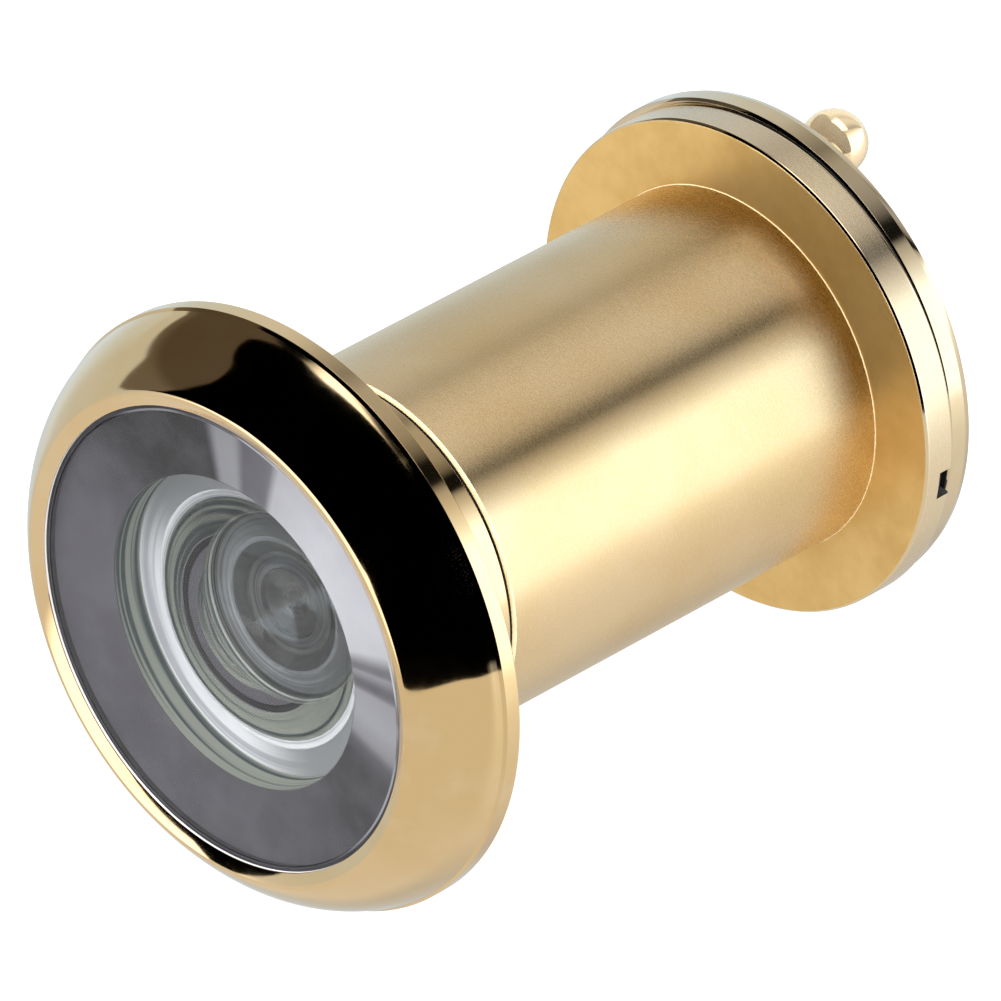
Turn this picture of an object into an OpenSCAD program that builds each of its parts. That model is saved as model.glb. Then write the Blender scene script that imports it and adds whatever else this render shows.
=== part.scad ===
// Door viewer with a turned bezel, a telescoping barrel and a swinging privacy cover.
// The axis of the viewer is the Y axis. The outdoor face looks along -Y.
// The origin is on the axis, in the plane where the bezel's back meets the door.
// +Z points from the axis to the cover's knob. Lengths are in millimetres.

/* [Bezel] */
// Radius of the bezel at its rim
bezel_r = 22.8; // [22:0.1:26]
// Height of the bezel's ridge in front of the door
bezel_h = 7.2; // [6.9:0.05:7.5]
// Inner radius of the lip round the glass
lip_in_r = 17.6; // [17.2:0.05:18]
// Radius of the ridge in which the lip ends
ridge_r = 18.45; // [18.2:0.05:19]
// How far the lip slopes down from the ridge to the glass
lip_drop = 0.4; // [0.2:0.05:0.5]
// Width of the rounded shoulder between the ridge and the bezel's cone
shoulder_w = 0.45; // [0.2:0.05:0.6]
// How far the bezel's face swells out from a straight cone
bezel_bulge = 0.6; // [0:0.05:0.9]
// Width of the narrow cylindrical land at the rim
rim_land = 1.6; // [0.8:0.1:2]

/* [Barrel] */
// Radius of the barrel, which passes through the hole in the door
barrel_r = 14; // [13.9:0.05:14.5]
// Length of the neck behind the bezel
neck_len = 8; // [6:0.5:9]
// Gap between the neck and the sleeve as shown
joint_gap = 0.15; // [0.05:0.05:0.5]
// Door thickness that the viewer grips as shown
grip = 44.8; // [43:0.1:50]
// Radius over the male thread
thread_r = 12.85; // [12.75:0.05:12.85]
// Depth of the thread
thread_depth = 0.4; // [0.2:0.05:0.45]
// Pitch of the thread
thread_pitch = 1; // [0.75:0.25:1.5]

/* [Flange] */
// Radius of the indoor flange
flange_r = 19.05; // [18.5:0.05:22]
// Thickness of the indoor flange
flange_t = 2.75; // [2.5:0.05:3.5]
// Width of each spanner notch in the flange's rim
notch_w = 2.3; // [1:0.1:3]
// Depth of each spanner notch, along the axis
notch_t = 1.35; // [0.5:0.05:1.6]

/* [Privacy cover] */
// Radius of the cover
cover_r = 19.15; // [18.5:0.05:22]
// Thickness of the cover at its edge
cover_t = 2.15; // [1.8:0.05:3]
// Height of the shallow dome on the cover's back
cover_dome = 0.45; // [0:0.05:0.8]
// Angle by which the cover stands off centre as shown
cover_ajar = 2.24; // [0:0.01:10]
// Distance of the pivot from the viewer's axis
pivot_dist = 15.6; // [14.5:0.1:15.8]
// Radius of the pivot pin
pivot_r = 1.5; // [1:0.1:1.8]
// Distance of the knob from the viewer's axis
knob_dist = 15; // [12:0.1:16]
// Radius of the ball on the knob
knob_r = 2.5; // [1.5:0.1:3]
// Height of the ball's centre above the cover's edge face
knob_h = 4.25; // [3:0.05:6]

/* [Lenses] */
// Gap between the front lens and the lip, filled by the gasket
gasket_t = 0.25; // [0.1:0.05:0.4]
// Depth of the front glass below the lip's inner edge
glass_recess = 0.2; // [0.05:0.05:0.5]
// Thickness of the front lens at its edge
front_edge_t = 1.2; // [1:0.1:1.5]
// Radius of the front lens's boss, which fills the neck
boss_r = 11.9; // [11.6:0.1:12]
// Slope of the seat under the front lens
seat_angle = 13; // [8:1:16]
// Radius of the smaller lenses and their spacers
stack_r = 11.1; // [10.8:0.1:11.1]
// Radius of the eyepiece lens
eyepiece_r = 8; // [7:0.1:8.5]
// Radius of the hole that the eye looks through
eye_hole_r = 6.5; // [5:0.1:6.6]

/* [Hidden] */
$fn = 96;

// Small gap that lets one part slide inside another
slip = 0.06;
// Size of the small chamfers that break sharp edges
edge = 0.2;
// Overlap that makes a cut pass clean through a surface
over = 1;

// Stations along the axis, from the front to the back
face_y = -bezel_h;
lip_y = face_y + lip_drop;
glass_y = lip_y + glass_recess;
glass_edge_y = glass_y + front_edge_t;
lens_r = lip_in_r - gasket_t;
seat_drop = (lens_r - boss_r) * tan(seat_angle);
boss_top_y = glass_edge_y + seat_drop;
boss_end_y = 1.2;
front_spacer_t = 0.5;
second_y = boss_end_y + front_spacer_t;
second_t = 5.5;
middle_spacer_t = 2;
third_y = second_y + second_t + middle_spacer_t;
third_t = 3;
clamp_y = third_y + third_t;
clamp_t = 2.5;
tube_setback = 6.8;
tube_end_y = grip - tube_setback;
sleeve_y = neck_len + joint_gap;
flange_back_y = grip + flange_t;
washer_t = 0.2;
cover_y = flange_back_y + washer_t;
cover_back_y = cover_y + cover_t;

// Radii of the bores
stack_bore_r = stack_r + slip;
boss_bore_r = boss_r + slip;
sleeve_bore_r = thread_r + slip;

// Hollows in the backs of the lenses
front_bowl_r = 9.8;
front_centre_t = 1.6;
second_bowl_r = 8;
second_bowl_depth = 4.2;
third_bowl_r = 6.5;
third_bowl_depth = 1.8;

// Bores of the spacers and clamp rings, which leave the lenses' hollows open
front_spacer_bore_r = front_bowl_r + 0.1;
middle_spacer_bore_r = second_bowl_r + 0.2;
clamp_bore_r = 7.5;
eyepiece_spacer_bore_r = 7;
eyepiece_clamp_bore_r = 6.5;

// Plain lengths at the ends of the threads
thread_relief = 1.5;
thread_lead_in = 2;

// Eyepiece end of the sleeve
eyepiece_end_y = grip + 0.2;
eyepiece_t = 4.4;
eyepiece_bulge = 1.4;
eyepiece_spacer_t = 0.8;
eyepiece_clamp_t = 1.6;
eyepiece_y = eyepiece_end_y - eyepiece_t;
eyepiece_clamp_y = eyepiece_y - eyepiece_spacer_t - eyepiece_clamp_t;
eyepiece_bore_r = eyepiece_r + 1;
sleeve_floor_y = tube_end_y + 0.2;
eye_flare_r = 9.5;
eye_flare_depth = 1.5;

// Pivot and its washers
pivot_hole_r = pivot_r + slip;
pivot_depth = 2.1;
pivot_head_r = 2.6;
pivot_head_t = 1;
washer_bore_r = pivot_r + 0.1;
friction_washer_r = 3.2;
wave_washer_r = 2.75;
wave_washer_t = 0.3;
recess_r = 3;
recess_t = 0.6;

// Knob
knob_neck_r = 1.35;
knob_foot_r = 1.9;
knob_foot_t = 0.5;
knob_rivet_r = 1;
knob_rivet_t = 1.4;

brass = "#d8bc8a";
satin_brass = "#c9ab70";
dark_ring = "#26262a";
clear_glass = [0.75, 0.82, 0.88, 0.4];

// Points on a shallow curve from p to q that swells out by b at its middle
function swell(p, q, b, n = 16) =
    let (d = q - p, len = norm(d), out = [d[1], -d[0]] / len)
    [for (i = [0 : n]) let (t = i / n) p + d * t + out * 4 * b * t * (1 - t)];

// Saw-tooth outline of a thread from y0 to y1, with roots at r0 and crests at r1
function teeth(r0, r1, y0, y1) =
    [for (y = [y0 : thread_pitch : y1 - thread_pitch], k = [0 : 3])
        [k == 1 || k == 2 ? r1 : r0, y + k * thread_pitch / 4]];

function backwards(pts) = [for (i = [len(pts) - 1 : -1 : 0]) pts[i]];

function but_last(pts) = [for (i = [0 : len(pts) - 2]) pts[i]];

// Radius of the sphere whose cap has this rim radius and depth
function cap_radius(rim, sag) = (rim * rim + sag * sag) / (2 * sag);

// Turned solid: the outline's points are [radius, station along Y]
module turned(pts) {
    rotate([-90, 0, 0]) rotate_extrude($fn = 128) polygon(pts);
}

// Plain ring or disc along Y
module ring(r, y, t, hole = 0) {
    turned([[hole, y], [r, y], [r, y + t], [hole, y + t]]);
}

// Rod along Y at a height z above the axis
module rod(r, y, t, z = 0) {
    translate([0, y, z]) rotate([-90, 0, 0]) cylinder(r = r, h = t, $fn = 64);
}

// Hollow that a lens has in its back face, which lies at back_y
module bowl(rim, sag, back_y) {
    translate([0, back_y - sag + cap_radius(rim, sag), 0]) sphere(r = cap_radius(rim, sag));
}

// Everything that turns with the cover about its pivot
module swung() {
    translate([0, 0, -pivot_dist]) rotate([0, -cover_ajar, 0]) translate([0, 0, pivot_dist]) children();
}

// Bezel, neck and threaded tube, turned from one bar
module outer_housing() {
    shoulder_drop = 0.3 * shoulder_w;
    cone_start = [ridge_r + shoulder_w, face_y + shoulder_drop];
    root_r = thread_r - thread_depth;
    color(brass) turned(concat(
        [[lip_in_r, lip_y]],
        but_last(swell([ridge_r, face_y], cone_start, shoulder_drop / 4, 4)),
        swell(cone_start, [bezel_r - edge, -rim_land], bezel_bulge),
        [[bezel_r, -rim_land + edge], [bezel_r, -edge], [bezel_r - edge, 0]],
        [[barrel_r, 0], [barrel_r, neck_len - edge], [barrel_r - edge, neck_len]],
        [[root_r, neck_len]],
        teeth(root_r, thread_r, neck_len + thread_relief, tube_end_y),
        [[root_r, tube_end_y], [stack_bore_r, tube_end_y]],
        [[stack_bore_r, boss_end_y + 0.1], [boss_bore_r, boss_end_y + 0.1]],
        [[boss_bore_r, boss_top_y + 2 * gasket_t], [lip_in_r, glass_edge_y + gasket_t]]));
}

// Rubber ring between the front lens and its seat in the bezel
module front_gasket() {
    color(dark_ring) turned([
        [lens_r, glass_y + 0.05], [lip_in_r, glass_y + 0.05], [lip_in_r, glass_edge_y + gasket_t],
        [boss_bore_r, boss_top_y + 2 * gasket_t], [boss_bore_r, boss_top_y], [lens_r, glass_edge_y]]);
}

// Mushroom-shaped outer lens: flat face, coned back, deep bowl in the boss
module front_lens() {
    color(clear_glass) difference() {
        turned([[0, glass_y], [lens_r - edge, glass_y], [lens_r, glass_y + edge],
            [lens_r, glass_edge_y], [boss_r, boss_top_y], [boss_r, boss_end_y], [0, boss_end_y]]);
        bowl(front_bowl_r, boss_end_y - glass_y - front_centre_t, boss_end_y);
    }
}

module front_spacer() {
    color(dark_ring) ring(stack_r, boss_end_y, front_spacer_t, front_spacer_bore_r);
}

module second_lens() {
    color(clear_glass) difference() {
        ring(stack_r, second_y, second_t);
        bowl(second_bowl_r, second_bowl_depth, second_y + second_t);
    }
}

module middle_spacer() {
    color(dark_ring) ring(stack_r, second_y + second_t, middle_spacer_t, middle_spacer_bore_r);
}

module third_lens() {
    color(clear_glass) difference() {
        ring(stack_r, third_y, third_t);
        bowl(third_bowl_r, third_bowl_depth, third_y + third_t);
    }
}

// Ring with two spanner slots on its back face
module slotted_ring(r, y, t, hole) {
    slot_w = 1.6;
    slot_t = 0.8;
    difference() {
        ring(r, y, t, hole);
        translate([-r - over, y + t - slot_t, -slot_w / 2]) cube([2 * (r + over), slot_t + over, slot_w]);
    }
}

module lens_clamp_ring() {
    color(dark_ring) slotted_ring(stack_r, clamp_y, clamp_t, clamp_bore_r);
}

// Barrel and flange of the indoor half, turned from one bar
module indoor_sleeve() {
    root_r = sleeve_bore_r + thread_depth;
    color(satin_brass) difference() {
        turned(concat(
            [[barrel_r - edge, sleeve_y], [barrel_r, sleeve_y + edge], [barrel_r, grip]],
            [[flange_r - edge, grip], [flange_r, grip + edge]],
            [[flange_r, flange_back_y - edge], [flange_r - edge, flange_back_y]],
            [[eye_flare_r, flange_back_y], [eye_hole_r, flange_back_y - eye_flare_depth]],
            [[eye_hole_r, eyepiece_end_y], [eyepiece_r + slip, eyepiece_end_y]],
            [[eyepiece_r + slip, eyepiece_y], [eyepiece_bore_r, eyepiece_y]],
            [[eyepiece_bore_r, sleeve_floor_y], [sleeve_bore_r, sleeve_floor_y]],
            backwards(teeth(sleeve_bore_r, root_r, sleeve_y + thread_lead_in, sleeve_floor_y - 1)),
            [[sleeve_bore_r, sleeve_y]]));
        rod(pivot_r, flange_back_y - pivot_depth, pivot_depth + over, -pivot_dist);
        for (side = [-1, 1])
            translate([side * flange_r, flange_back_y - notch_t / 2, 0])
                cube([2, notch_t, notch_w], center = true);
    }
}

// Double-convex lens that the eye looks into
module eyepiece_lens() {
    cap = cap_radius(eyepiece_r, eyepiece_bulge);
    middle_y = eyepiece_end_y - eyepiece_t / 2;
    color(clear_glass) intersection() {
        ring(eyepiece_r, eyepiece_y - over, eyepiece_t + 2 * over);
        translate([0, middle_y + cap - eyepiece_t / 2, 0]) sphere(r = cap, $fn = 300);
        translate([0, middle_y - cap + eyepiece_t / 2, 0]) sphere(r = cap, $fn = 300);
    }
}

module eyepiece_spacer() {
    spacer_y = eyepiece_y - eyepiece_spacer_t;
    color(dark_ring) ring(eyepiece_bore_r - slip, spacer_y, eyepiece_spacer_t, eyepiece_spacer_bore_r);
}

module eyepiece_clamp_ring() {
    color(dark_ring)
        slotted_ring(eyepiece_bore_r - slip, eyepiece_clamp_y, eyepiece_clamp_t, eyepiece_clamp_bore_r);
}

// Shouldered rivet on which the cover turns
module pivot_pin() {
    head_y = cover_back_y - recess_t + wave_washer_t;
    pin_y = flange_back_y - pivot_depth;
    color(brass) translate([0, 0, -pivot_dist]) turned(concat(
        [[0, pin_y], [pivot_r, pin_y], [pivot_r, head_y], [pivot_head_r, head_y]],
        [[pivot_head_r, head_y + pivot_head_t / 2], [pivot_head_r * 0.75, head_y + pivot_head_t]],
        [[0, head_y + pivot_head_t]]));
}

module friction_washer() {
    color("#b9b4a8") translate([0, 0, -pivot_dist])
        ring(friction_washer_r, flange_back_y, washer_t, washer_bore_r);
}

// Spring washer, drawn pressed flat under the pin's head
module wave_washer() {
    color("#b9b4a8") translate([0, 0, -pivot_dist])
        ring(wave_washer_r, cover_back_y - recess_t, wave_washer_t, washer_bore_r);
}

// Round plate that swings across the eye hole
module cover_plate() {
    dome = swell([cover_r - 3, cover_back_y], [0, cover_back_y + cover_dome], cover_dome / 4, 12);
    color(brass) swung() difference() {
        turned(concat(
            [[0, cover_y], [cover_r - edge, cover_y], [cover_r, cover_y + edge]],
            [[cover_r, cover_back_y - 0.6], [cover_r - edge, cover_back_y]],
            dome));
        rod(pivot_hole_r, cover_y - over, cover_t + 2 * over, -pivot_dist);
        rod(recess_r, cover_back_y - recess_t, recess_t + over, -pivot_dist);
        rod(knob_foot_r + slip, cover_back_y, over, knob_dist);
        rod(knob_rivet_r, cover_back_y - knob_rivet_t, knob_rivet_t + over, knob_dist);
    }
}

// Ball knob with its neck, foot and rivet
module cover_knob() {
    ball_y = cover_back_y + knob_h;
    color(brass) swung() {
        translate([0, ball_y, knob_dist]) sphere(r = knob_r);
        rod(knob_neck_r, cover_back_y + knob_foot_t / 2, knob_h - knob_foot_t / 2, knob_dist);
        rod(knob_foot_r, cover_back_y, knob_foot_t, knob_dist);
        rod(knob_rivet_r, cover_back_y - knob_rivet_t, knob_rivet_t + knob_foot_t / 2, knob_dist);
    }
}

outer_housing();
front_gasket();
front_lens();
front_spacer();
second_lens();
middle_spacer();
third_lens();
lens_clamp_ring();
indoor_sleeve();
eyepiece_lens();
eyepiece_spacer();
eyepiece_clamp_ring();
pivot_pin();
friction_washer();
wave_washer();
cover_plate();
cover_knob();
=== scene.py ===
"""Door viewer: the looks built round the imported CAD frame.

The turned parts that show are turned again here at a higher resolution, from the outlines of their
CAD nodes, with small rounded edges. Lengths are in metres unless a name or a note says otherwise.
The viewer's axis is Y, the outdoor face looks along -Y, and +Z points to the cover's knob.
"""

import math

import bmesh
import bpy
from mathutils import Matrix, Vector


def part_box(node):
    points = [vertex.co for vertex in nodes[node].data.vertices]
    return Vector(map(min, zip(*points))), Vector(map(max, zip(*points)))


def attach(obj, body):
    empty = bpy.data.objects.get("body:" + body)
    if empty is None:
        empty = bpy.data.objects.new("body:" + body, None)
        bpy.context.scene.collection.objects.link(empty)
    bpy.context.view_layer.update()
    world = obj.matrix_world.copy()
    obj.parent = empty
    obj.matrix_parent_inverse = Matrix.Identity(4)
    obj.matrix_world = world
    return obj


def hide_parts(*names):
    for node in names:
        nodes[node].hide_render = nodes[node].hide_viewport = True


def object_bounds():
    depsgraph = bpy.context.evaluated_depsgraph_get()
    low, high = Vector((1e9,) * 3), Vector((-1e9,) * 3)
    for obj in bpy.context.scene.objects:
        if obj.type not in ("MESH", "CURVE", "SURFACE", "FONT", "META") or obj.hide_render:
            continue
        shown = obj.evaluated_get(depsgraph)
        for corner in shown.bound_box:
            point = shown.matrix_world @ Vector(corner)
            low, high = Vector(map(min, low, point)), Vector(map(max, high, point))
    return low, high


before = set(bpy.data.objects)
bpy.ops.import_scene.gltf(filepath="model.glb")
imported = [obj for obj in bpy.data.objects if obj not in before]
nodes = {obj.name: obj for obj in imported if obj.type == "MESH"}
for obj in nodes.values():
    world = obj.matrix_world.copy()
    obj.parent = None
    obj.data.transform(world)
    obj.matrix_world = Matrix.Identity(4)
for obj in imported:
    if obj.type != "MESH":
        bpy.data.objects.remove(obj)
cad_low, cad_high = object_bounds()

MM = 0.001
MICRON = 0.001 * MM
TINY = 0.1 * MICRON

# How the outlines are cut, rounded and turned.
CUT_ANGLE = math.radians(40)
SEGMENTS = 288
ROD_SEGMENTS = 96
DOME_STEPS = 48
ARC_STEPS = 4
EDGE_ROUND = 0.07 * MM
SMOOTH_TURN = math.radians(14)
ARC_SHARE = 0.45
MITRE_LIMIT = 0.3
SMALL_CHAMFER = 0.4 * MM
FILM = 0.02 * MM
FLAT = 0.01 * MM

# Sizes of the details that are added here.
NOTCH_W = 2.3 * MM
NOTCH_T = 1.35 * MM
NOTCH_DEPTH = 1 * MM
RECESS_R = 3 * MM
PIN_HOLE_R = 1.56 * MM

# Limits that tell the faces of a part from each other: the depth of the sleeve's end edge and of
# its fillet, a reach just inside a wall, the radius inside which a lens back is polished, the least
# part of a normal along or away from the axis on a plain face, and on one that may slope.
EDGE = 0.3 * MM
SKIN = 0.02 * MM
RIM_R = 6 * MM
END_FACE = 0.9
SLOPING = 0.5

scene = bpy.context.scene
scene.view_settings.view_transform = "Standard"
scene.view_settings.look = "None"


# ---------------------------------------------------------------- outlines


def node_axis(node):
    """Centre of a CAD node's box, as the x and z of its own turning axis."""
    low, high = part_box(node)
    return (low.x + high.x) / 2, (low.z + high.z) / 2


def cut_loops(node, axis, angle):
    """Loops of (radius, y) where a half plane through the axis cuts a CAD node."""
    mesh = bmesh.new()
    mesh.from_mesh(nodes[node].data)
    bmesh.ops.remove_doubles(mesh, verts=mesh.verts, dist=TINY)
    centre = Vector((axis[0], 0, axis[1]))
    out = Vector((math.sin(angle), 0, math.cos(angle)))
    side = out.cross(Vector((0, 1, 0)))
    found = bmesh.ops.bisect_plane(
        mesh,
        geom=mesh.verts[:] + mesh.edges[:] + mesh.faces[:],
        dist=0.1 * TINY,
        plane_co=centre,
        plane_no=side,
    )
    links = {}
    for item in found["geom_cut"]:
        if not isinstance(item, bmesh.types.BMEdge):
            continue
        inner, outer = sorted(((v.co - centre).dot(out), v.co.y) for v in item.verts)
        if outer[0] <= TINY:
            continue
        if inner[0] < 0:
            share = -inner[0] / (outer[0] - inner[0])
            inner = (0.0, inner[1] + share * (outer[1] - inner[1]))
        keys = [(round(r / TINY), round(y / TINY)) for r, y in (inner, outer)]
        if keys[0] != keys[1]:
            links.setdefault(keys[0], set()).add(keys[1])
            links.setdefault(keys[1], set()).add(keys[0])
    mesh.free()
    loops = []
    left = set(links)
    while left:
        ends = [k for k in left if len(links[k]) == 1]
        here = min(ends) if ends else min(left)
        chain = [here]
        left.discard(here)
        while True:
            step = [k for k in links[here] if k in left]
            if not step:
                break
            here = step[0]
            left.discard(here)
            chain.append(here)
        loops.append([(r * TINY, y * TINY) for r, y in chain])
    return loops


def true_circles(node, axis):
    """Every (radius, y) at which the CAD node's mesh has vertices, which lie on its true surface."""
    found = set()
    for vertex in nodes[node].data.vertices:
        r = math.hypot(vertex.co.x - axis[0], vertex.co.z - axis[1])
        found.add((round(r / MICRON) * MICRON, round(vertex.co.y / MICRON) * MICRON))
    return found


def snapped(points, circles, reach=0.02 * MM):
    """Moves each point to the nearest true circle, and drops the points that have none near."""
    made = []
    for p in points:
        if p[0] < TINY:
            made.append((0.0, p[1]))
            continue
        near = min(circles, key=lambda c: (c[0] - p[0]) ** 2 + (c[1] - p[1]) ** 2)
        if math.dist(near, p) < reach and (not made or made[-1] != near):
            made.append(near)
    return made


def thin_out(points, closed, tolerance=MICRON):
    """Drops the points that lie on a straight line between their neighbours."""
    kept = list(points)
    changed = True
    while changed:
        changed = False
        i = 0 if closed else 1
        while i < len(kept) - (0 if closed else 1) and len(kept) > 3:
            a, b, c = kept[i - 1], kept[i], kept[(i + 1) % len(kept)]
            dx, dy = c[0] - a[0], c[1] - a[1]
            length = math.hypot(dx, dy)
            area = abs(dx * (b[1] - a[1]) - dy * (b[0] - a[0]))
            if length > TINY and area / length < tolerance:
                kept.pop(i)
                changed = True
            else:
                i += 1
    return kept


def outline(node, axis=(0, 0)):
    """Outline of a turned CAD node as (points, closed), running so that the solid is on its left."""
    loop = max(cut_loops(node, axis, CUT_ANGLE), key=len)
    closed = min(r for r, y in loop) > TINY
    points = thin_out(snapped(loop, true_circles(node, axis)), closed)
    area = sum(
        a[0] * b[1] - b[0] * a[1] for a, b in zip(points, points[1:] + points[:1])
    )
    if area < 0:
        points.reverse()
    return points, closed


def turn_at(points, i):
    """How sharply an outline turns at its point i."""
    before = Vector(points[i]) - Vector(points[i - 1])
    after = Vector(points[(i + 1) % len(points)]) - Vector(points[i])
    return before.angle(after)


def round_end(points):
    """Makes the stretch from an outline's last sharp corner to its end on the axis a true arc."""
    corner = len(points) - 2
    while turn_at(points, corner) < SMOOTH_TURN:
        corner -= 1
    rim, tip = points[corner], points[-1]
    if abs(rim[1] - tip[1]) < FLAT:
        return points[: corner + 1] + [tip]
    middle = (rim[0] ** 2 + rim[1] ** 2 - tip[1] ** 2) / (2 * (rim[1] - tip[1]))
    radius = abs(tip[1] - middle)
    start = math.atan2(rim[1] - middle, rim[0])
    stop = math.copysign(math.pi / 2, tip[1] - middle)
    made = points[: corner + 1]
    for k in range(1, DOME_STEPS):
        a = start + (stop - start) * k / DOME_STEPS
        made.append((radius * math.cos(a), middle + radius * math.sin(a)))
    return made + [tip]


def rounded(points, closed, radius, fillet):
    """Replaces each sharp corner with a small arc, of radius fillet where the corner is hollow."""
    made = []
    count = len(points)
    for i, p in enumerate(points):
        if not closed and i in (0, count - 1):
            made.append(p)
            continue
        a, c = Vector(points[i - 1]), Vector(points[(i + 1) % count])
        b = Vector(p)
        u, v = (a - b), (c - b)
        turn = math.pi - u.angle(v)
        if turn < SMOOTH_TURN:
            made.append(p)
            continue
        hollow = v.x * u.y - v.y * u.x > 0
        reach = (fillet if hollow else radius) * math.tan(turn / 2)
        back = min(reach, ARC_SHARE * u.length, ARC_SHARE * v.length)
        p0, p1 = b + u.normalized() * back, b + v.normalized() * back
        for k in range(ARC_STEPS + 1):
            t = k / ARC_STEPS
            w = (1 - t) ** 2 * p0 + 2 * t * (1 - t) * b + t * t * p1
            made.append((w.x, w.y))
    return made


def finish_mesh(obj, look):
    """Gives a mesh its look, and smooth shading that keeps its flat faces flat."""
    obj.data.materials.append(look)
    for polygon in obj.data.polygons:
        polygon.use_smooth = True
    weighted = obj.modifiers.new("shading", "WEIGHTED_NORMAL")
    weighted.mode = "FACE_AREA"
    weighted.weight = 50
    weighted.keep_sharp = True


def turned(name, points, closed, look, axis=(0, 0)):
    """Mesh of an outline turned about an axis parallel to Y."""
    mesh = bmesh.new()
    rings = []
    for r, y in points:
        if r < MICRON:
            rings.append([mesh.verts.new((axis[0], y, axis[1]))])
            continue
        ring = []
        for k in range(SEGMENTS):
            a = 2 * math.pi * k / SEGMENTS
            ring.append(
                mesh.verts.new((axis[0] + r * math.sin(a), y, axis[1] + r * math.cos(a)))
            )
        rings.append(ring)
    pairs = list(zip(rings, rings[1:]))
    if closed:
        pairs.append((rings[-1], rings[0]))
    for low, high in pairs:
        for k in range(SEGMENTS):
            n = (k + 1) % SEGMENTS
            corners = [low[k % len(low)], low[n % len(low)], high[n % len(high)], high[k % len(high)]]
            face = list(dict.fromkeys(corners))
            if len(face) > 2:
                mesh.faces.new(face)
    bmesh.ops.recalc_face_normals(mesh, faces=mesh.faces)
    data = bpy.data.meshes.new(name)
    mesh.to_mesh(data)
    mesh.free()
    obj = bpy.data.objects.new(name, data)
    scene.collection.objects.link(obj)
    finish_mesh(obj, look)
    return obj


def inset(points, closed, by):
    """Moves an outline inwards, so that two touching pieces keep a film of air between them."""
    made = []
    count = len(points)
    for i, p in enumerate(points):
        sides = []
        if closed or i > 0:
            sides.append((points[i - 1], p))
        if closed or i < count - 1:
            sides.append((p, points[(i + 1) % count]))
        normals = []
        for a, b in sides:
            d = (Vector(b) - Vector(a)).normalized()
            normals.append(Vector((-d.y, d.x)))
        shift = sum(normals, Vector((0, 0)))
        shift = shift / max(shift.dot(normals[0]), MITRE_LIMIT)
        r = p[0] + shift.x * by if p[0] > MICRON else 0
        made.append((max(0, r), p[1] + shift.y * by))
    return made


def crisp(points, beyond):
    """Brings each small chamfer outside a radius back to its corner, for a finer rounding."""
    made = list(points)
    i = 0
    while i < len(made):
        a, b = made[i - 1], made[i]
        small = math.dist(a, b) < SMALL_CHAMFER
        if small and a[0] != b[0] and a[1] != b[1] and min(a[0], b[0]) > beyond:
            made[i] = (max(a[0], b[0]), a[1] if a[0] < b[0] else b[1])
            made.pop(i - 1)
        else:
            i += 1
    return made


def turned_node(
    node, look, body, axis=(0, 0), radius=EDGE_ROUND, fillet=None, film=0, domed=False, keen=None
):
    """High-resolution stand-in for one turned CAD node.

    Corners get the radius, and hollow ones the fillet. film is the air left round the piece. A
    domed piece ends in parts of spheres. Outside the radius keen, small chamfers become corners.
    """
    points, closed = outline(node, axis)
    if keen:
        points = crisp(points, keen)
    if domed:
        points = round_end(points)
        points = round_end(points[::-1])[::-1]
    if film:
        points = inset(points, closed, film)
    points = rounded(points, closed, radius, radius if fillet is None else fillet)
    obj = turned(node + "_turned", points, closed, look, axis)
    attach(obj, body)
    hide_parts(node)
    return obj


def box_mesh(low, high):
    """Box between two corners, for a cut."""
    mesh = bmesh.new()
    bmesh.ops.create_cube(mesh, size=1)
    for vertex in mesh.verts:
        vertex.co = Vector([(a + b) / 2 + c * (b - a) for a, b, c in zip(low, high, vertex.co)])
    return mesh


def rod_mesh(axis, radius, low, high):
    """Rod parallel to Y between two values of y, for a cut."""
    mesh = bmesh.new()
    bmesh.ops.create_cone(
        mesh, cap_ends=True, segments=ROD_SEGMENTS, radius1=radius, radius2=radius, depth=high - low
    )
    bmesh.ops.rotate(mesh, verts=mesh.verts, matrix=Matrix.Rotation(math.pi / 2, 3, "X"))
    bmesh.ops.translate(mesh, verts=mesh.verts, vec=(axis[0], (low + high) / 2, axis[1]))
    return mesh


def cut(obj, *cutters):
    """Cuts the cutters' meshes out of an object's own mesh."""
    for mesh in cutters:
        data = bpy.data.meshes.new("cutter")
        mesh.to_mesh(data)
        mesh.free()
        tool = bpy.data.objects.new("cutter", data)
        scene.collection.objects.link(tool)
        step = obj.modifiers.new("cut", "BOOLEAN")
        step.operation = "DIFFERENCE"
        step.solver = "EXACT"
        step.object = tool
        with bpy.context.temp_override(object=obj, active_object=obj):
            bpy.ops.object.modifier_move_to_index(modifier=step.name, index=0)
            bpy.ops.object.modifier_apply(modifier=step.name)
        bpy.data.objects.remove(tool)


# ---------------------------------------------------------------- node helpers


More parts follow.
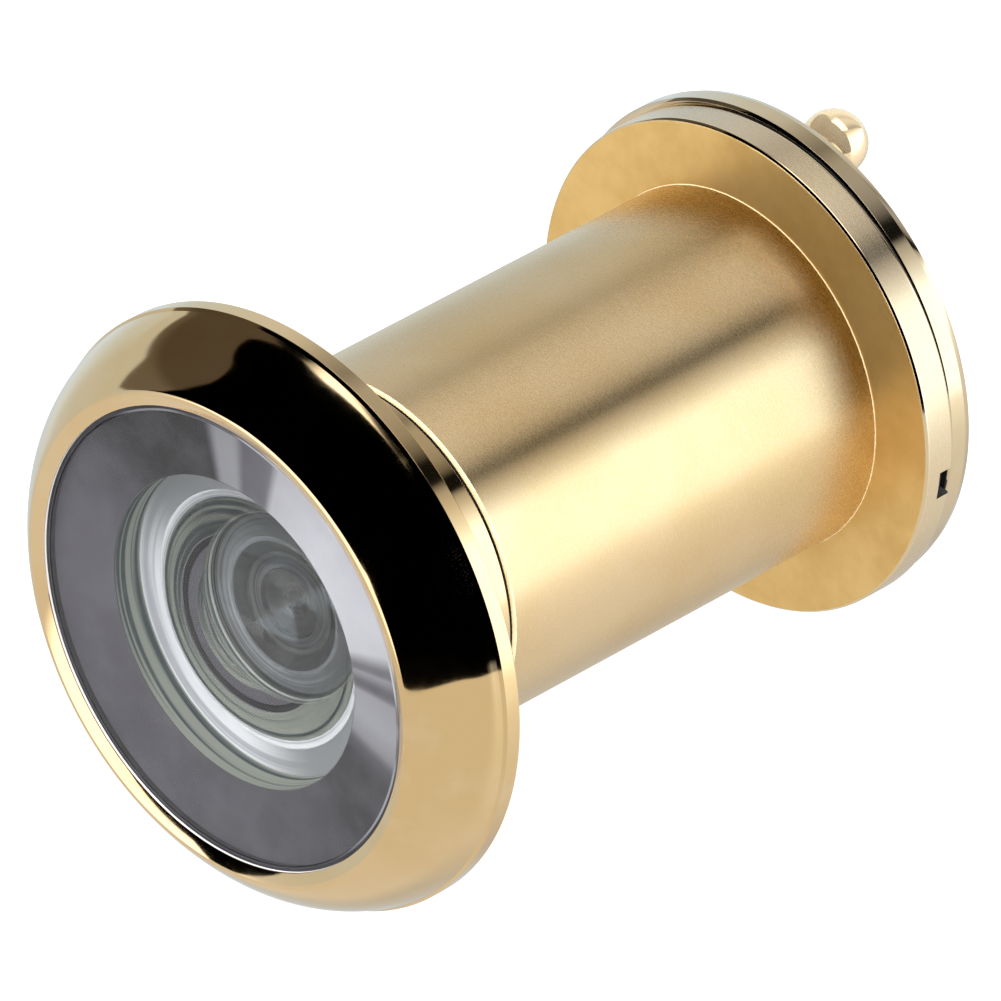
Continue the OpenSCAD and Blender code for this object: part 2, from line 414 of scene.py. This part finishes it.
class Nodes:
    """Short way to build a node tree."""

    def __init__(self, tree):
        self.tree = tree
        self.tree.nodes.clear()

    def new(self, kind):
        return self.tree.nodes.new(kind)

    def link(self, a, b):
        self.tree.links.new(a, b)

    def put(self, socket, value):
        """Sets a socket to a number, a colour or another node's output."""
        if isinstance(value, bpy.types.NodeSocket):
            self.link(value, socket)
        else:
            socket.default_value = value

    def coordinates(self, kind="Object"):
        return self.new("ShaderNodeTexCoord").outputs[kind]

    def incoming(self):
        """Direction from the shaded point back along the ray that sees it."""
        return self.new("ShaderNodeNewGeometry").outputs["Incoming"]

    def camera_ray(self):
        return self.new("ShaderNodeLightPath").outputs["Is Camera Ray"]

    def after(self, kind):
        """1 for a ray that has had a Diffuse or a Transmission bounce before, and 0 for others."""
        depth = self.new("ShaderNodeLightPath").outputs[kind + " Depth"]
        return self.math("GREATER_THAN", depth, 0.5)

    def split(self, vector):
        """The x, y and z of a vector."""
        node = self.new("ShaderNodeSeparateXYZ")
        self.link(vector, node.inputs[0])
        return tuple(node.outputs)

    def math(self, operation, a, b=0.0, c=None):
        node = self.new("ShaderNodeMath")
        node.operation = operation
        self.put(node.inputs[0], a)
        self.put(node.inputs[1], b)
        if c is not None:
            self.put(node.inputs[2], c)
        return node.outputs[0]

    def product(self, first, *others):
        for other in others:
            first = self.math("MULTIPLY", first, other)
        return first

    def hypot(self, a, b):
        square = self.math("ADD", self.math("MULTIPLY", a, a), self.math("MULTIPLY", b, b))
        return self.math("SQRT", square)

    def mix(self, factor, a, b, kind="RGBA", blend="MIX"):
        node = self.new("ShaderNodeMix")
        node.data_type = kind
        if kind == "RGBA":
            node.blend_type = blend
            slots = (6, 7, 2)
        else:
            slots = (2, 3, 0)
        self.put(node.inputs[0], factor)
        self.put(node.inputs[slots[0]], a)
        self.put(node.inputs[slots[1]], b)
        return node.outputs[slots[2]]

    def noise(self, vector, scale, detail=3.0, rough=0.5):
        node = self.new("ShaderNodeTexNoise")
        self.put(node.inputs["Vector"], vector)
        node.inputs["Scale"].default_value = scale
        node.inputs["Detail"].default_value = detail
        node.inputs["Roughness"].default_value = rough
        return node.outputs[0]

    def ramp(self, factor, stops):
        """Colour that runs through stops of (place, colour)."""
        node = self.new("ShaderNodeValToRGB")
        cells = node.color_ramp.elements
        while len(cells) > 1:
            cells.remove(cells[-1])
        cells[0].position = stops[0][0]
        cells[0].color = stops[0][1]
        for place, colour in stops[1:]:
            cells.new(place).color = colour
        self.put(node.inputs[0], factor)
        return node.outputs[0]

    def range(self, value, low, high, to_low=0.0, to_high=1.0):
        """Smooth step from to_low at low to to_high at high. low may be the larger one."""
        node = self.new("ShaderNodeMapRange")
        node.interpolation_type = "SMOOTHSTEP"
        for socket, setting in zip(node.inputs, (value, low, high, to_low, to_high)):
            self.put(socket, setting)
        return node.outputs[0]

    def bump(self, height, strength, distance):
        node = self.new("ShaderNodeBump")
        node.inputs["Strength"].default_value = strength
        node.inputs["Distance"].default_value = distance
        self.put(node.inputs["Height"], height)
        return node.outputs[0]

    def surface(self, kind, end, settings):
        """Shader of a kind with its sockets set by name, linked to the material's output."""
        node = self.new("ShaderNodeBsdf" + kind)
        for name, value in settings.items():
            self.put(node.inputs[name], value)
        self.link(node.outputs[0], end.inputs[0])


def material(name):
    """New material with its nodes and its output."""
    made = bpy.data.materials.new(name)
    made.use_nodes = True
    n = Nodes(made.node_tree)
    return made, n, n.new("ShaderNodeOutputMaterial")


def lathe_vector(n, axis=(0, 0), along=60.0, across=9000.0):
    """Coordinates that run slowly round the axis and quickly across it, as turning marks do."""
    place = n.coordinates()
    x, y, z = n.split(place)
    x = n.math("SUBTRACT", x, axis[0])
    z = n.math("SUBTRACT", z, axis[1])
    r = n.hypot(x, z)
    safe_r = n.math("MAXIMUM", r, 1e-5)
    # The marks follow r on end faces and y on walls.
    path = n.math("MULTIPLY_ADD", r, 1.3, y)
    join = n.new("ShaderNodeCombineXYZ")
    n.put(join.inputs[0], n.math("MULTIPLY", n.math("DIVIDE", x, safe_r), along))
    n.put(join.inputs[1], n.math("MULTIPLY", path, across))
    n.put(join.inputs[2], n.math("MULTIPLY", n.math("DIVIDE", z, safe_r), along))
    return place, join.outputs[0]


# ---------------------------------------------------------------- materials

BRASS_TINTS = ((0.90, 0.675, 0.385, 1), (0.84, 0.60, 0.30, 1), (0.94, 0.75, 0.48, 1))
RIM_TINTS = ((0.93, 0.76, 0.53, 1), (0.88, 0.70, 0.44, 1), (0.96, 0.84, 0.66, 1))
COVER_TINTS = ((0.84, 0.69, 0.47, 1), (0.78, 0.62, 0.38, 1), (0.88, 0.77, 0.58, 1))
# Near-black for painted shade, put on faces that lie in a gap between parts.
GAP_SHADE_BLACK = (0.015, 0.014, 0.013, 1)


def ring_zone(n, place, ring):
    """1 inside a ring of (inner radius, outer radius, y) on the viewer's axis, in front of y."""
    x, y, z = n.split(place)
    r = n.hypot(x, z)
    return n.product(
        n.math("GREATER_THAN", r, ring[0]), n.math("LESS_THAN", r, ring[1]), n.math("LESS_THAN", y, ring[2])
    )


def polished_brass(name, axis=(0, 0), tints=BRASS_TINTS, metallic=1.0, dark=None):
    """Mirror-polished brass with faint turning marks and haze. dark is a ring painted near-black and dull, as
    painted shade in a gap between parts.
    """
    made, n, end = material(name)
    place, marks = lathe_vector(n, axis)
    fine = n.noise(marks, 1.0, 2.0)
    haze = n.noise(place, 260.0, 4.0, 0.6)
    wide = n.noise(place, 70.0, 2.0)
    tint = n.mix(n.range(wide, 0.35, 0.65), tints[0], tints[1])
    tint = n.mix(n.range(haze, 0.45, 0.8, 0.0, 0.35), tint, tints[2])
    rough = n.math("MULTIPLY_ADD", n.range(haze, 0.4, 0.75), 0.05, 0.035)
    rough = n.math("MULTIPLY_ADD", fine, 0.03, rough)
    if dark:
        # Painted shade: inside the ring the colour goes near-black and the metal dull.
        zone = ring_zone(n, place, dark)
        tint = n.mix(zone, tint, GAP_SHADE_BLACK)
        metallic = n.math("MULTIPLY_ADD", zone, -metallic, metallic)
        rough = n.math("MULTIPLY_ADD", zone, 0.5, rough)
    height = n.math("ADD", n.math("MULTIPLY", fine, 0.3), wide)
    n.surface("Principled", end, {
        "Base Color": tint,
        "Metallic": metallic,
        "Roughness": rough,
        "Normal": n.bump(height, 0.05, 0.02 * MM),
    })
    return made


def satin_brass(name, tints=BRASS_TINTS):
    """Satin brass, brushed round the axis: blurred reflections along the axis and fine streaks."""
    made, n, end = material(name)
    place, marks = lathe_vector(n, (0, 0), 28.0, 7000.0)
    streaks = n.noise(marks, 1.0, 4.0, 0.65)
    grain = n.noise(place, 4200.0, 2.0, 0.6)
    wide = n.noise(place, 90.0, 3.0)
    tint = n.mix(n.range(wide, 0.3, 0.7), tints[0], tints[1])
    tint = n.mix(n.range(streaks, 0.45, 0.75, 0.0, 0.5), tint, tints[2])
    rough = n.math("MULTIPLY_ADD", streaks, 0.10, 0.20)
    rough = n.math("MULTIPLY_ADD", grain, 0.05, rough)
    height = n.math("MULTIPLY_ADD", grain, 0.5, streaks)
    tangent = n.new("ShaderNodeTangent")
    tangent.direction_type = "RADIAL"
    tangent.axis = "Y"
    n.surface("Principled", end, {
        "Base Color": tint,
        "Metallic": 1.0,
        "Roughness": rough,
        "Anisotropic": 0.85,
        "Anisotropic Rotation": 0.25,
        "Normal": n.bump(height, 0.35, 0.004 * MM),
        "Tangent": tangent.outputs[0],
    })
    return made


def optical_glass():
    """Polished glass with a faint coating tint and a few specks of dust."""
    made, n, end = material("optical_glass")
    dust = n.noise(n.coordinates(), 900.0, 3.0, 0.7)
    n.surface("Principled", end, {
        "Base Color": n.mix(n.range(dust, 0.3, 0.7), (0.985, 1, 0.995, 1), (0.97, 0.99, 1, 1)),
        "Roughness": n.range(dust, 0.62, 0.75, 0.0, 0.02),
        "IOR": 1.52,
        "Transmission Weight": 1.0,
    })
    return made


def dull(name, colour_a, colour_b, rough, scale, metallic=0.0, height=0.01):
    """Dull surface with mottled colour and a fine grain, whose height is in millimetres."""
    made, n, end = material(name)
    place, marks = lathe_vector(n, (0, 0), 30.0, 4000.0)
    mottle = n.noise(place, scale, 5.0, 0.6)
    grain = n.noise(place, scale * 9, 2.0, 0.6)
    turning = n.noise(marks, 1.0, 2.0)
    n.surface("Principled", end, {
        "Base Color": n.mix(n.range(mottle, 0.3, 0.7), colour_a, colour_b),
        "Metallic": metallic,
        "Roughness": n.math("MULTIPLY_ADD", mottle, 0.2, rough),
        "Normal": n.bump(n.math("ADD", grain, turning), 0.4, height * MM),
    })
    return made


def side_of_view(n):
    """Place round the viewer's axis from 0 to 1, with 0.5 on the side that the seeing eye is on."""
    x, _, z = n.split(n.coordinates())
    view_x, _, view_z = n.split(n.incoming())
    own = n.math("ARCTAN2", x, z)
    seen = n.math("ARCTAN2", view_x, view_z)
    turn = n.math("MULTIPLY_ADD", n.math("SUBTRACT", own, seen), 1 / (2 * math.pi), 0.5)
    return n.math("FRACT", turn)


# Brightness of the lens seat by the angle from the side that the eye is on, in degrees: its dark lilac tone,
# and painted reflections of the studio's lights, which the glass over it mirrors on that side only.
SEAT_TONES_AND_REFLECTIONS = (
    (-180, 0.125), (-150, 0.140), (-112, 0.125), (-104, 0.095), (-86, 0.035), (-62, 0.030),
    (-57, 0.040), (-54, 0.42), (-47, 0.45), (-44, 0.16), (-34, 0.20), (-31, 0.75), (-8, 0.95),
    (16, 0.92), (24, 0.85), (27, 0.35), (29, 0.14), (31, 0.42), (34, 0.16), (36, 0.12),
    (38, 0.45), (47, 0.50), (54, 0.36), (57, 0.12), (62, 0.050), (82, 0.058), (90, 0.095),
    (180, 0.125),
)
SEAT_LIGHT = 0.7
LILAC_SHADE = 0.12


def seat_colour(shade):
    """Grey of a seat shade, bluish throughout and lilac where it is near LILAC_SHADE."""
    value = shade * SEAT_LIGHT
    lilac = max(0.0, min(0.5, 1.2 - 6 * abs(shade - LILAC_SHADE)))
    return (value, value * (0.99 - 0.08 * lilac), value * (1.06 + 0.1 * lilac), 1)


def lens_seat():
    """Seat in contact with the glass: dark lilac, with painted reflections that are bright where the glass
    mirrors the lights.
    """
    made, n, end = material("lens_seat")
    # The bright stops are painted reflections, turned with the eye.
    stops = [((degrees + 180) / 360, seat_colour(shade)) for degrees, shade in SEAT_TONES_AND_REFLECTIONS]
    mottle = n.noise(n.coordinates(), 300.0, 4.0, 0.6)
    patches = n.range(mottle, 0.3, 0.7, 0.0, 0.12)
    n.surface("Diffuse", end, {
        "Color": n.mix(patches, n.ramp(side_of_view(n), stops), (0.3, 0.3, 0.33, 1)),
    })
    return made


def ground_glass(name, dark, light, shade=None):
    """Finely ground glass with faint rings. Given a shade, it is painted that darker grey on the side that
    the eye is on, as painted shade.
    """
    made, n, end = material(name)
    place, marks = lathe_vector(n, (0, 0), 0.4, 1500.0)
    rings = n.noise(marks, 1.0, 2.0, 0.5)
    mottle = n.noise(place, 700.0, 4.0, 0.6)
    colour = n.mix(n.range(rings, 0.40, 0.60), dark, light)
    colour = n.mix(n.range(mottle, 0.4, 0.75, 0.0, 0.12), colour, light)
    if shade:
        # Painted shade: darker on the side that the eye is on.
        away = n.math("ABSOLUTE", n.math("SUBTRACT", side_of_view(n), 0.5))
        colour = n.mix(n.range(n.math("SUBTRACT", 0.5, away), 0.10, 0.22), colour, shade)
    n.surface("Diffuse", end, {"Color": colour})
    return made


# ---------------------------------------------------------------- the object

cover_axis = node_axis("cover_plate")
knob_axis = node_axis("cover_knob")
pin_axis = node_axis("pivot_pin")

sleeve_low, sleeve_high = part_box("indoor_sleeve")
plate_low, plate_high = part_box("cover_plate")
sleeve_mid_y = (sleeve_low.y + sleeve_high.y) / 2
flange_r = sleeve_high.x
barrel_r = max(
    math.hypot(v.co.x, v.co.z) for v in nodes["indoor_sleeve"].data.vertices if v.co.y < sleeve_mid_y
)
bore_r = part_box("front_gasket")[1].x
seat_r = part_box("front_lens")[1].x
boss_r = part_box("front_spacer")[1].x + MM
eye_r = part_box("eyepiece_lens")[1].x
# Ring on the cover's front face, across the gap from the flange, that is painted black as painted shade.
cover_gap_shade = (eye_r, flange_r - 0.15 * MM, plate_low.y + 0.05 * MM)
notch_y = sleeve_high.y - NOTCH_T

bezel_brass = polished_brass("bezel_brass")
# The cover's ring in the gap to the flange is painted near-black: painted shade.
cover_brass = polished_brass("cover_brass", cover_axis, COVER_TINTS, dark=cover_gap_shade)
rim_brass = satin_brass("rim_brass", RIM_TINTS)
line_brass = polished_brass("line_brass", tints=RIM_TINTS)
knob_brass = polished_brass("knob_brass", knob_axis, RIM_TINTS, metallic=0.8)
pin_brass = polished_brass("pin_brass", pin_axis)
sleeve_brass = satin_brass("sleeve_brass")
flange_brass = dull(
    "flange_brass", (0.86, 0.59, 0.23, 1), (0.77, 0.51, 0.18, 1), 0.30, 300.0, metallic=0.87, height=0.004
)
# Pale, half-metallic brass that reads as a thin bright line on the barrel's fillet and the sleeve's start
# edge: a painted highlight.
pale_edge_highlight = dull(
    "pale_edge_highlight", (0.93, 0.80, 0.55, 1), (0.80, 0.66, 0.40, 1), 0.35, 500.0, metallic=0.4, height=0.002
)
glass = optical_glass()
seat_rubber = dull("seat_rubber", (0.012, 0.012, 0.014, 1), (0.03, 0.028, 0.032, 1), 0.55, 400.0)
spacer_metal = dull("spacer_metal", (0.74, 0.72, 0.70, 1), (0.82, 0.80, 0.78, 1), 0.4, 500.0)
# Near-black: the eyepiece clamp ring's own colour, and painted shade on faces in the joints' gaps and in the
# flange's notches.
black_metal = dull("black_metal", (0.012, 0.012, 0.014, 1), (0.03, 0.03, 0.033, 1), 0.45, 500.0)
washer_steel = dull("washer_steel", (0.55, 0.54, 0.5, 1), (0.65, 0.63, 0.6, 1), 0.3, 600.0, metallic=1.0)
seat = lens_seat()
ground_edge = ground_glass("ground_edge", (0.07, 0.095, 0.105, 1), (0.40, 0.42, 0.37, 1))
# The lens rims are painted darker on the side that the eye is on: painted shade.
ground_rim = ground_glass(
    "ground_rim", (0.50, 0.51, 0.55, 1), (0.88, 0.88, 0.92, 1), shade=(0.30, 0.31, 0.32, 1)
)
lining = dull("bore_lining", (0.74, 0.73, 0.74, 1), (0.84, 0.82, 0.80, 1), 0.5, 400.0)


def paint(obj, look, test):
    """Gives a look to the faces that pass a test of (centre, r, outward, along).

    outward and along are the parts of a face's normal away from the viewer's axis and along it.
    """
    if look.name not in obj.data.materials:
        obj.data.materials.append(look)
    slot = obj.data.materials.find(look.name)
    for polygon in obj.data.polygons:
        at, normal = polygon.center, polygon.normal
        r = math.hypot(at.x, at.z)
        outward = (normal.x * at.x + normal.z * at.z) / max(r, MICRON)
        if test(at, r, outward, normal.y):
            polygon.material_index = slot


def slants(along):
    """Whether a face is neither flat on the axis nor along it, as on a chamfer or a rounded edge."""
    return 0.05 < abs(along) < 0.95


def make_housing():
    """Bezel, neck and threaded tube, with the neck's end face painted black as painted shade in the joint
    with the sleeve, and a pale bore.
    """
    neck_inner_r = bore_r - 5 * MM
    widest_step_r = barrel_r - 2 * MM

    def neck_end(at, r, outward, along):
        return along > END_FACE and sleeve_low.y - EDGE < at.y < sleeve_low.y and r > neck_inner_r

    def bore(at, r, outward, along):
        wall = outward < -SLOPING and r < bore_r
        step = abs(along) > END_FACE and r < widest_step_r and at.y < sleeve_low.y - MM
        return wall or step

    housing = turned_node("outer_housing", bezel_brass, "outdoor_half")
    # Painted shade: the neck's end face, in the gap to the sleeve, is painted black.
    paint(housing, black_metal, neck_end)
    paint(housing, lining, bore)


def make_sleeve():
    """Satin barrel and flange, with two notches for a pin spanner in the flange's rim."""

    def flange_face(at, r, outward, along):
        return r > barrel_r and along < -END_FACE

    def start_face(at, r, outward, along):
        return at.y < sleeve_low.y + 0.03 * MM and along < -END_FACE

    def rim(at, r, outward, along):
        return r > flange_r - SKIN and outward > END_FACE

    def outer_edges(at, r, outward, along):
        return r > barrel_r - 0.05 * MM and slants(along)

    def start_edge(at, r, outward, along):
        return at.y < sleeve_low.y + EDGE and r > barrel_r - EDGE and slants(along)

    def fillet(at, r, outward, along):
        return 0 < r - barrel_r < 0.5 * MM and along < 0 and slants(along)

    def notches(at, r, outward, along):
        across = flange_r - NOTCH_DEPTH - FLAT < abs(at.x) and abs(at.z) < NOTCH_W / 2 + FLAT
        return across and at.y > notch_y - FLAT and r < flange_r - SKIN

    def back_face(at, r, outward, along):
        return at.y > notch_y and along > END_FACE

    sleeve = turned_node(
        "indoor_sleeve", sleeve_brass, "indoor_half", fillet=EDGE, keen=barrel_r - 0.5 * MM
    )
    paint(sleeve, flange_brass, flange_face)
    # Painted shade: the sleeve's start face, in the gap to the neck, is painted black.
    paint(sleeve, black_metal, start_face)
    paint(sleeve, rim_brass, rim)
    paint(sleeve, line_brass, outer_edges)
    # Painted highlight: the start edge and the fillet at the flange take the pale edge colour.
    paint(sleeve, pale_edge_highlight, start_edge)
    paint(sleeve, pale_edge_highlight, fillet)
    for side in (-1, 1):
        ends = sorted((side * (flange_r - NOTCH_DEPTH), side * (flange_r + MM)))
        low = (ends[0], notch_y, -NOTCH_W / 2)
        high = (ends[1], sleeve_high.y + MM, NOTCH_W / 2)
        cut(sleeve, box_mesh(low, high))
    # Painted shade: the notch walls and the flange's back face, in the gap to the cover, are painted black.
    paint(sleeve, black_metal, notches)
    paint(sleeve, black_metal, back_face)


def make_cover():
    """Cover with a recess for the wave washer, its ball knob and the pin that it turns on."""
    plate = turned_node("cover_plate", cover_brass, "privacy_cover", cover_axis)
    recess_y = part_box("wave_washer")[0].y
    front_y, back_y = plate_low.y - MM, plate_high.y + MM
    recess = rod_mesh(pin_axis, RECESS_R, recess_y, back_y)
    cut(plate, recess, rod_mesh(pin_axis, PIN_HOLE_R, front_y, back_y))
    turned_node("cover_knob", knob_brass, "privacy_cover", knob_axis, domed=True)
    turned_node("pivot_pin", pin_brass, "indoor_half", pin_axis)


def make_lens(part, body):
    return turned_node(part, glass, body, film=FILM, radius=0.05 * MM, domed=True)


def make_glass():
    """Gasket with the seat that shows through the glass, the lenses and the rings between them."""

    def seat_face(at, r, outward, along):
        return r < seat_r and along < -SLOPING

    def edge(at, r, outward, along):
        return r < boss_r and outward > END_FACE

    gasket = turned_node(
        "front_gasket", seat_rubber, "outdoor_half", radius=0.03 * MM, film=-2 * FILM
    )
    paint(gasket, seat, seat_face)
    for part in ("front_lens", "second_lens", "third_lens"):
        rim_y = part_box(part)[1].y - 0.1 * MM
        lens = make_lens(part, "outdoor_half")
        paint(lens, ground_edge, edge)
        paint(lens, ground_rim, lambda at, r, outward, along: along > END_FACE and at.y > rim_y and r > RIM_R)
    make_lens("eyepiece_lens", "indoor_half")
    for part in ("front_spacer", "middle_spacer"):
        turned_node(part, spacer_metal, "outdoor_half", radius=0.04 * MM)


def paint_inner_parts():
    """Looks of the CAD nodes that are shown as they are."""
    looks = {
        "lens_clamp_ring": spacer_metal,
        "eyepiece_spacer": spacer_metal,
        "eyepiece_clamp_ring": black_metal,
        "friction_washer": washer_steel,
        "wave_washer": washer_steel,
    }
    for part, look in looks.items():
        nodes[part].data.materials.clear()
        nodes[part].data.materials.append(look)


make_housing()
make_sleeve()
make_cover()
make_glass()
paint_inner_parts()


# ---------------------------------------------------------------- stage

SOFT_LIGHT = 3.2
SOFT_INSIDE = 4.6
INNER_LIGHT = 1.3
FLOOR_LIGHT = 1.08
FLOOR_SIZE = 20
floor_z = cad_low.z - 0.1 * MM

# Light round the viewer's axis by the angle from straight up towards +X, in degrees:
# (angle, level, how much warmer than white)
BACK_LIGHTS = (
    (-180, 0.58, 0.0), (-150, 0.66, -0.08), (-125, 0.76, -0.14), (-119, 0.86, -0.16),
    (-107, 0.80, -0.16), (-95, 0.76, -0.14), (-71, 0.74, -0.08), (-59, 0.70, -0.04),
    (-47, 0.63, -0.02), (-36, 0.44, 0.0), (-24, 0.26, 0.02), (-14, 0.45, 0.0), (-2, 0.44, 0.0),
    (8, 0.34, 0.02), (15, 0.18, 0.02), (20, 0.008, 0.0), (28, 0.008, 0.0), (32, 0.46, 0.0),
    (38, 0.72, 0.0), (46, 1.20, -0.08), (54, 1.85, -0.12), (96, 1.85, -0.12), (104, 1.25, -0.04),
    (118, 0.95, -0.02), (132, 0.83, 0.0), (156, 0.75, 0.0), (168, 0.66, 0.0), (180, 0.58, 0.0),
)

# Right edge of the wall on the left, and the centre (azimuth, rise) and radius of its upper
# corner, in degrees.
WALL_AZIMUTH = -57.0
CORNER_AT = (-76.0, 19.0)
CORNER_R = 20.0


def grey(value, warm=0.0):
    return (value * (1 + warm), value, value * (1 - warm), 1)


BLACK = grey(0.0)


def softboxes(n, x, z):
    """Colour of the light round the viewer's axis."""
    roll = n.math("MULTIPLY_ADD", n.math("ARCTAN2", x, z), 1 / (2 * math.pi), 0.5)
    return n.ramp(roll, [((a + 180) / 360, grey(v, w)) for a, v, w in BACK_LIGHTS])


def floor_ahead(n, x, z):
    """Floor in front: neutral on the right, cooler on the left, and bright far ahead."""
    near = n.mix(n.range(x, -0.6, -0.9), grey(0.73, 0.02), grey(0.68, -0.08))
    middle = n.product(n.range(x, -0.75, -0.55), n.range(x, 0.3, 0.2))
    far = n.product(middle, n.range(z, -0.32, -0.18))
    return n.mix(far, near, grey(2.0))


def dark_room(n, x, y, z, floor):
    """Black above a low sill on the floor, which dips on the right and rises straight ahead."""
    ahead = n.math("MAXIMUM", n.math("MULTIPLY_ADD", y, -1.0, -0.2), 0.0)
    dip = n.product(n.math("POWER", ahead, 2.0), n.range(x, 0.2, 0.3, -0.36, 0.45))
    dip = n.product(dip, n.range(x, -0.62, -0.50))
    return n.mix(n.range(n.math("ADD", z, dip), -0.056, -0.050), floor, BLACK)


def left_wall(n, azimuth, rise, floor):
    """Dim warm wall with a rounded upper corner, black above it and the floor below its foot."""
    wall = n.mix(n.range(rise, 7.0, 14.0), grey(0.138, 0.10), grey(0.075, 0.20))
    lift = n.range(azimuth, -100.0, -116.0, 0.0, 18.0)
    over = n.math("MAXIMUM", n.math("SUBTRACT", n.math("SUBTRACT", rise, lift), CORNER_AT[1]), 0.0)
    aside = n.math("MAXIMUM", n.math("SUBTRACT", azimuth, CORNER_AT[0]), 0.0)
    corner = n.hypot(over, aside)
    wall = n.mix(n.range(corner, CORNER_R - 0.4, CORNER_R + 0.4), wall, BLACK)
    foot = n.range(azimuth, -72.0, -84.0, -4.0, 7.0)
    return n.mix(n.range(n.math("SUBTRACT", rise, foot), 1.0, -1.0), wall, floor)


def studio_light(n, x, y, z):
    """Colour that a reflection sees in a direction: softboxes behind, and a dark room in front."""
    azimuth = n.math("MULTIPLY", n.math("ARCTAN2", x, n.math("MULTIPLY", y, -1.0)), 180 / math.pi)
    rise = n.math("MULTIPLY", n.math("ARCSINE", z), 180 / math.pi)
    floor = floor_ahead(n, x, z)
    room = dark_room(n, x, y, z, floor)
    wall = left_wall(n, azimuth, rise, floor)
    front = n.mix(n.range(azimuth, WALL_AZIMUTH + 1, WALL_AZIMUTH - 1), room, wall)
    # A bright strip runs along the edge of the softboxes overhead.
    strip = n.product(n.range(y, 0.50, 0.40), n.range(n.math("ABSOLUTE", x), 0.5, 0.3))
    strip = n.product(strip, n.range(z, 0.5, 0.7))
    back = n.mix(strip, softboxes(n, x, z), grey(1.9))
    # The softboxes start nearer overhead than at the sides, and further back below the horizon.
    start = n.math("MAXIMUM", n.range(x, -0.30, -0.9, 0.09, 0.40), n.range(x, 0.33, 0.42, 0.09, 0.18))
    above = n.range(n.math("SUBTRACT", y, start), 0.0, 0.02)
    below = n.range(y, 0.05, 0.30)
    behind = n.mix(n.range(z, 0.02, -0.02), above, below, kind="FLOAT")
    return n.mix(behind, front, back)


def floor_paint():
    """Pale floor: nearly white to the camera, and the studio's light in the reflections."""
    made, n, end = material("floor_paint")
    lit = n.new("ShaderNodeBsdfDiffuse")
    lit.inputs[0].default_value = grey(0.95)
    white = n.new("ShaderNodeEmission")
    white.inputs[0].default_value = grey(1.0)
    white.inputs[1].default_value = FLOOR_LIGHT
    seen = n.new("ShaderNodeMixShader")
    seen.inputs[0].default_value = 0.8
    n.link(lit.outputs[0], seen.inputs[1])
    n.link(white.outputs[0], seen.inputs[2])
    direction = [n.math("MULTIPLY", part, -1.0) for part in n.split(n.incoming())]
    glow = n.new("ShaderNodeEmission")
    n.put(glow.inputs[0], n.mix(n.after("Diffuse"), studio_light(n, *direction), grey(0.9)))
    both = n.new("ShaderNodeMixShader")
    n.link(n.camera_ray(), both.inputs[0])
    n.link(glow.outputs[0], both.inputs[1])
    n.link(seen.outputs[0], both.inputs[2])
    n.link(both.outputs[0], end.inputs[0])
    return made


def lay_floor():
    mesh = bmesh.new()
    for x, y in ((-1, -1), (1, -1), (1, 1), (-1, 1)):
        mesh.verts.new((x * FLOOR_SIZE / 2, y * FLOOR_SIZE / 2, floor_z))
    mesh.faces.new(mesh.verts[:])
    data = bpy.data.meshes.new("floor")
    mesh.to_mesh(data)
    mesh.free()
    data.materials.append(floor_paint())
    obj = bpy.data.objects.new("floor", data)
    scene.collection.objects.link(obj)


def studio_world():
    """Plain white to the camera, soft light for dull surfaces and the studio for shiny ones.

    Rays that have passed the glass see brighter light, since few of them find their way out.
    """
    world = bpy.data.worlds.new("studio")
    scene.world = world
    world.use_nodes = True
    n = Nodes(world.node_tree)
    end = n.new("ShaderNodeOutputWorld")
    x, y, z = n.split(n.coordinates("Generated"))
    inside = n.after("Transmission")
    inner = n.mix(1.0, softboxes(n, x, z), grey(INNER_LIGHT), blend="MULTIPLY")
    shiny = n.mix(inside, studio_light(n, x, y, z), inner)
    soft = n.mix(inside, grey(SOFT_LIGHT), grey(SOFT_INSIDE))
    light = n.mix(n.after("Diffuse"), shiny, soft)
    shade = n.new("ShaderNodeBackground")
    n.put(shade.inputs[0], n.mix(n.camera_ray(), light, grey(1.0)))
    n.link(shade.outputs[0], end.inputs[0])
    world.cycles.sampling_method = "NONE"


lay_floor()
studio_world()


# ---------------------------------------------------------------- camera

AZIMUTH = math.radians(40.75)
ELEVATION = math.radians(36.81)
ROLL = math.radians(6.77)
DISTANCE = 1.1648
LENS_MM = 599.1
SENSOR_MM = 36
AIM_OFFSET = Vector((7.0, -11.675, 7.1)) * MM


def set_camera():
    """Camera that looks at a place near the middle of the CAD box, and leans a little."""
    aim = (cad_low + cad_high) / 2 + AIM_OFFSET
    back = Vector((
        math.sin(AZIMUTH) * math.cos(ELEVATION),
        -math.cos(AZIMUTH) * math.cos(ELEVATION),
        math.sin(ELEVATION),
    ))
    level = Vector((math.cos(AZIMUTH), math.sin(AZIMUTH), 0))
    rise = back.cross(level)
    right = level * math.cos(ROLL) + rise * math.sin(ROLL)
    up = back.cross(right)
    data = bpy.data.cameras.new("camera")
    data.sensor_width = SENSOR_MM
    data.lens = LENS_MM
    data.clip_start = 0.05
    data.clip_end = 50
    camera = bpy.data.objects.new("camera", data)
    scene.collection.objects.link(camera)
    facing = Matrix((right, up, back)).transposed()
    camera.matrix_world = Matrix.Translation(aim + back * DISTANCE) @ facing.to_4x4()
    return camera


bpy.context.scene.camera = set_camera()
